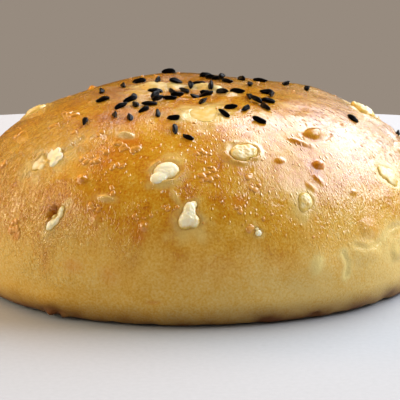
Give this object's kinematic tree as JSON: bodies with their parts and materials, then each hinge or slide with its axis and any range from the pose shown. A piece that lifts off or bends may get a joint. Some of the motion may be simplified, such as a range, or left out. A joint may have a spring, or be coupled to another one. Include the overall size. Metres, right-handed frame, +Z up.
{
  "type": "cheese pastry",
  "caption": "Round domed bun of enriched dough, egg-washed and baked golden, with white cheese curds breaking through its crust and nigella seeds over its crown.",
  "frame": {"origin": "middle of the bottom of the whole pastry's box, on the flat base that it stands on", "axes": "+Z up through the crown, +X to the right across the wider way, +Y from the front, where most cheese shows, to the back"},
  "size_m": [0.1, 0.097, 0.0436],
  "materials": {
    "crust": "thin baked crust under a glossy egg wash, golden orange on the crown and paler straw yellow towards the base",
    "cheese": "moist white cheese curd, smooth and slightly see-through, cream coloured from baking",
    "seed": "black nigella seed coat, finely netted, with a dull sheen"
  },
  "bodies": {
    "root": {"bun": "crust", "curd_front": "cheese", "curd_front_oval": "cheese", "curd_left_torn": "cheese", "curd_left_crack": "cheese", "curd_ringed": "cheese", "curd_right_small": "cheese", "curd_crown": "cheese", "curd_crumb": "cheese", "curd_right_shoulder": "cheese", "curd_left_shoulder": "cheese", "curd_right_edge": "cheese", "curd_back_left": "cheese", "curd_back": "cheese", "curd_back_right": "cheese", "seed_01": "seed", "seed_02": "seed", "seed_03": "seed", "seed_04": "seed", "seed_05": "seed", "seed_06": "seed", "seed_07": "seed", "seed_08": "seed", "seed_09": "seed", "seed_10": "seed", "seed_11": "seed", "seed_12": "seed", "seed_13": "seed", "seed_14": "seed", "seed_15": "seed", "seed_16": "seed", "seed_17": "seed", "seed_18": "seed", "seed_19": "seed", "seed_20": "seed", "seed_21": "seed", "seed_22": "seed", "seed_23": "seed", "seed_24": "seed", "seed_25": "seed", "seed_26": "seed", "seed_27": "seed", "seed_28": "seed", "seed_29": "seed", "seed_30": "seed", "seed_31": "seed", "seed_32": "seed", "seed_33": "seed", "seed_34": "seed", "seed_35": "seed", "seed_36": "seed", "seed_37": "seed", "seed_38": "seed", "seed_39": "seed", "seed_40": "seed", "seed_41": "seed", "seed_42": "seed", "seed_43": "seed", "seed_44": "seed", "seed_45": "seed"}
  },
  "joints": []
}
